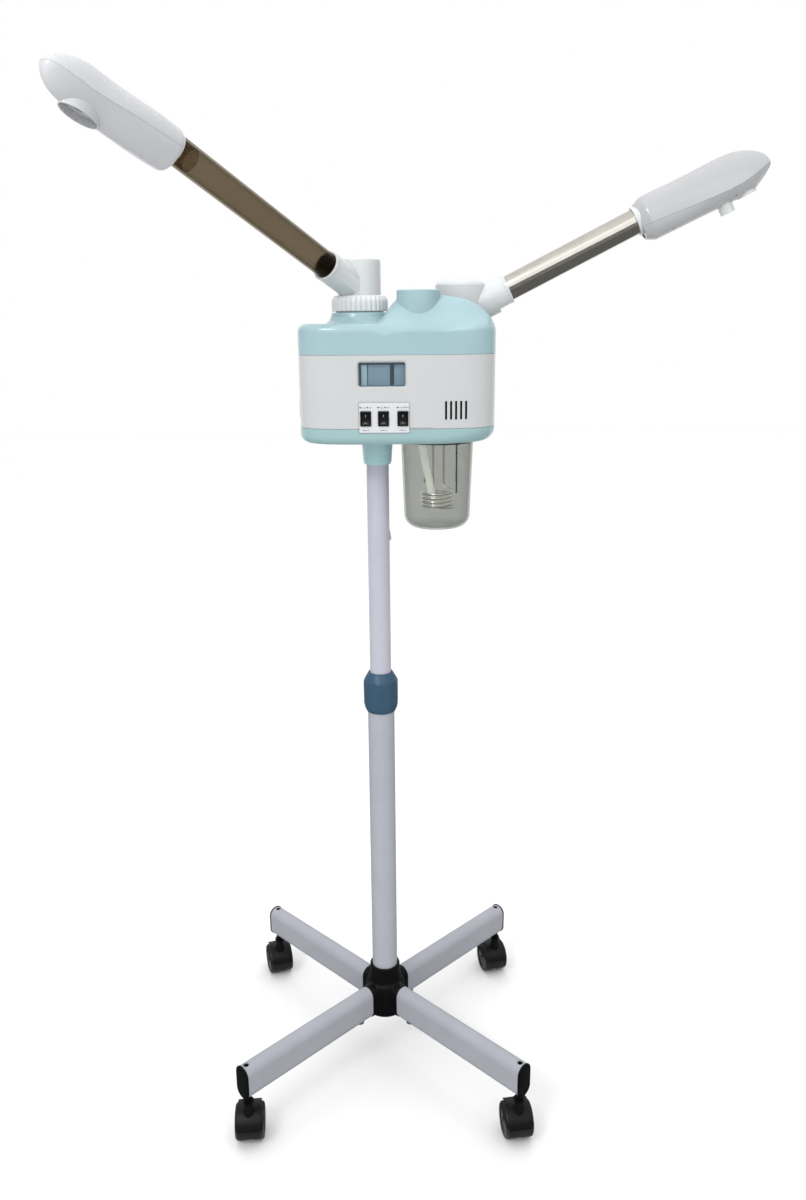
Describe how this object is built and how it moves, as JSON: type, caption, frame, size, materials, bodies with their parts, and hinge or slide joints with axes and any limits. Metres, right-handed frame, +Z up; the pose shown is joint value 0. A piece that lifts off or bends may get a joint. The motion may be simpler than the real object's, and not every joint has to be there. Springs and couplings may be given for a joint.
{
  "type": "facial steamer",
  "caption": "Facial steamer: head unit with glass boiling jar and swivelling nozzle arms on a height-adjustable pole with castors.",
  "frame": {"origin": "pole axis at floor level", "axes": "+Z up along the pole, -Y towards the front with the switches, +X towards the steam arm"},
  "size_m": [0.7892, 0.5699, 1.3582],
  "materials": {
    "black_plastic": "satin",
    "silver_paint": "satin",
    "steel": "satin",
    "white_plastic": "gloss",
    "slate_plastic": "satin",
    "teal_dark_plastic": "gloss",
    "teal_plastic": "gloss",
    "white_shell": "gloss",
    "label_white": "satin",
    "switch_black": "gloss",
    "tank_plastic": "gloss",
    "brass_disc": "satin",
    "fan_black": "satin",
    "transformer_steel": "satin",
    "board_green": "satin",
    "black_rubber": "matt",
    "heater_chrome": "polished",
    "silicone_white": "matt",
    "head_white": "gloss",
    "tube_chrome": "polished",
    "wheel_black": "satin",
    "window_tint": "gloss",
    "jar_glass": "gloss",
    "smoked_tube": "gloss"
  },
  "bodies": {
    "stand": {"hub": "black_plastic", "leg_fl": "silver_paint", "leg_fr": "silver_paint", "leg_bl": "silver_paint", "leg_br": "silver_paint", "leg_end_caps": "black_plastic", "base_bolts": "steel", "caster_stems": "steel", "lower_pole": "silver_paint", "clamp_collet": "white_plastic"},
    "clamp": {"clamp_nut": "slate_plastic"},
    "mast": {"upper_pole": "silver_paint"},
    "head": {"pole_socket": "teal_dark_plastic", "bottom_pan": "teal_plastic", "mid_shell": "white_shell", "top_cover": "teal_plastic", "window_lens": "window_tint", "control_panel": "label_white", "switch_frames": "switch_black", "mist_tank": "tank_plastic", "mist_transducer": "brass_disc", "fan_frame": "fan_black", "transformer": "transformer_steel", "circuit_board": "board_green", "power_inlet": "switch_black", "boiler_flange": "white_plastic", "jar_gasket": "black_rubber", "heating_element": "heater_chrome", "filler_tube": "silicone_white", "level_probes": "steel"},
    "rocker_left": {"rocker_1": "switch_black"},
    "rocker_middle": {"rocker_2": "switch_black"},
    "rocker_right": {"rocker_3": "switch_black"},
    "fan": {"fan_rotor": "fan_black"},
    "jar": {"glass_jar": "jar_glass"},
    "cap": {"filler_cap": "teal_plastic"},
    "ring_nut": {"mist_ring_nut": "white_plastic"},
    "mist_arm": {"mist_elbow": "white_plastic", "mist_tube": "smoked_tube"},
    "mist_head": {"mist_head_collar": "white_plastic", "mist_head_top": "head_white", "mist_head_bottom": "head_white"},
    "steam_arm": {"steam_elbow": "white_plastic", "steam_tube": "tube_chrome"},
    "steam_head": {"steam_head_collar": "white_plastic", "steam_head_top": "head_white", "steam_head_bottom": "head_white", "steam_spout": "white_plastic"},
    "castor_fl": {"caster_hood_fl": "black_plastic", "caster_axle_fl": "steel"},
    "wheels_fl": {"caster_wheels_fl": "wheel_black"},
    "castor_fr": {"caster_hood_fr": "black_plastic", "caster_axle_fr": "steel"},
    "wheels_fr": {"caster_wheels_fr": "wheel_black"},
    "castor_bl": {"caster_hood_bl": "black_plastic", "caster_axle_bl": "steel"},
    "wheels_bl": {"caster_wheels_bl": "wheel_black"},
    "castor_br": {"caster_hood_br": "black_plastic", "caster_axle_br": "steel"},
    "wheels_br": {"caster_wheels_br": "wheel_black"}
  },
  "joints": [
    {"name": "castor_swivel_fl", "type": "hinge", "parent": "stand", "child": "castor_fl", "pos_m": [-0.18951, -0.18951, 0.05], "axis": [0, 0, 1], "continuous": true},
    {"name": "wheel_roll_fl", "type": "hinge", "parent": "castor_fl", "child": "wheels_fl", "pos_m": [-0.19034, -0.17753, 0.025], "axis": [-0.9976, -0.0698, 0], "continuous": true},
    {"name": "castor_swivel_fr", "type": "hinge", "parent": "stand", "child": "castor_fr", "pos_m": [0.18951, -0.18951, 0.05], "axis": [0, 0, 1], "continuous": true},
    {"name": "wheel_roll_fr", "type": "hinge", "parent": "castor_fr", "child": "wheels_fr", "pos_m": [0.18784, -0.17762, 0.025], "axis": [-0.9903, -0.1392, 0], "continuous": true},
    {"name": "castor_swivel_bl", "type": "hinge", "parent": "stand", "child": "castor_bl", "pos_m": [-0.18951, 0.18951, 0.05], "axis": [0, 0, 1], "continuous": true},
    {"name": "wheel_roll_bl", "type": "hinge", "parent": "castor_bl", "child": "wheels_bl", "pos_m": [-0.19321, 0.20092, 0.025], "axis": [-0.9511, -0.309, 0], "continuous": true},
    {"name": "castor_swivel_br", "type": "hinge", "parent": "stand", "child": "castor_br", "pos_m": [0.18951, 0.18951, 0.05], "axis": [0, 0, 1], "continuous": true},
    {"name": "wheel_roll_br", "type": "hinge", "parent": "castor_br", "child": "wheels_br", "pos_m": [0.1862, 0.20104, 0.025], "axis": [-0.9613, -0.2756, 0], "continuous": true},
    {"name": "clamp_twist", "type": "hinge", "parent": "stand", "child": "clamp", "pos_m": [0, 0, 0.6], "axis": [0, 0, 1], "range_deg": [0, 120]},
    {"name": "pole_slide", "type": "slide", "parent": "stand", "child": "mast", "axis": [0, 0, 1], "range_m": [-0.19, 0.12]},
    {"name": "head_swivel", "type": "hinge", "parent": "mast", "child": "head", "pos_m": [0, 0, 0.95], "axis": [0, 0, 1], "range_deg": [-180, 180]},
    {"name": "switch_1", "type": "hinge", "parent": "head", "child": "rocker_left", "pos_m": [-0.0118, -0.088, 1.0012], "axis": [-1, 0, 0], "range_deg": [0, 16]},
    {"name": "switch_2", "type": "hinge", "parent": "head", "child": "rocker_middle", "pos_m": [0.0103, -0.088, 1.0012], "axis": [-1, 0, 0], "range_deg": [0, 16]},
    {"name": "switch_3", "type": "hinge", "parent": "head", "child": "rocker_right", "pos_m": [0.0344, -0.088, 1.0012], "axis": [-1, 0, 0], "range_deg": [0, 16]},
    {"name": "fan_spin", "type": "hinge", "parent": "head", "child": "fan", "pos_m": [0.1005, -0.0795, 1.0105], "axis": [0, 1, 0], "continuous": true},
    {"name": "jar_drop", "type": "slide", "parent": "head", "child": "jar", "axis": [0, 0, -1], "range_m": [0, 0.15]},
    {"name": "cap_lift", "type": "slide", "parent": "head", "child": "cap", "axis": [0, 0, 1], "range_m": [0, 0.04]},
    {"name": "ring_nut_turn", "type": "hinge", "parent": "head", "child": "ring_nut", "pos_m": [-0.02, 0, 1.14], "axis": [0, 0, 1], "range_deg": [0, 120]},
    {"name": "mist_arm_swivel", "type": "hinge", "parent": "head", "child": "mist_arm", "pos_m": [-0.02, 0, 1.14], "axis": [0, 0, 1], "range_deg": [-130, 50]},
    {"name": "mist_head_roll", "type": "hinge", "parent": "mist_arm", "child": "mist_head", "pos_m": [-0.20233, -0.22516, 1.29319], "axis": [-0.568, -0.7014, 0.4305], "range_deg": [-90, 90]},
    {"name": "steam_arm_swivel", "type": "hinge", "parent": "head", "child": "steam_arm", "pos_m": [0.11, 0.015, 1.126], "axis": [0, 0, 1], "range_deg": [-20, 100]},
    {"name": "steam_head_roll", "type": "hinge", "parent": "steam_arm", "child": "steam_head", "pos_m": [0.33319, -0.00061, 1.23755], "axis": [0.8928, -0.0624, 0.4462], "range_deg": [-90, 90]}
  ]
}
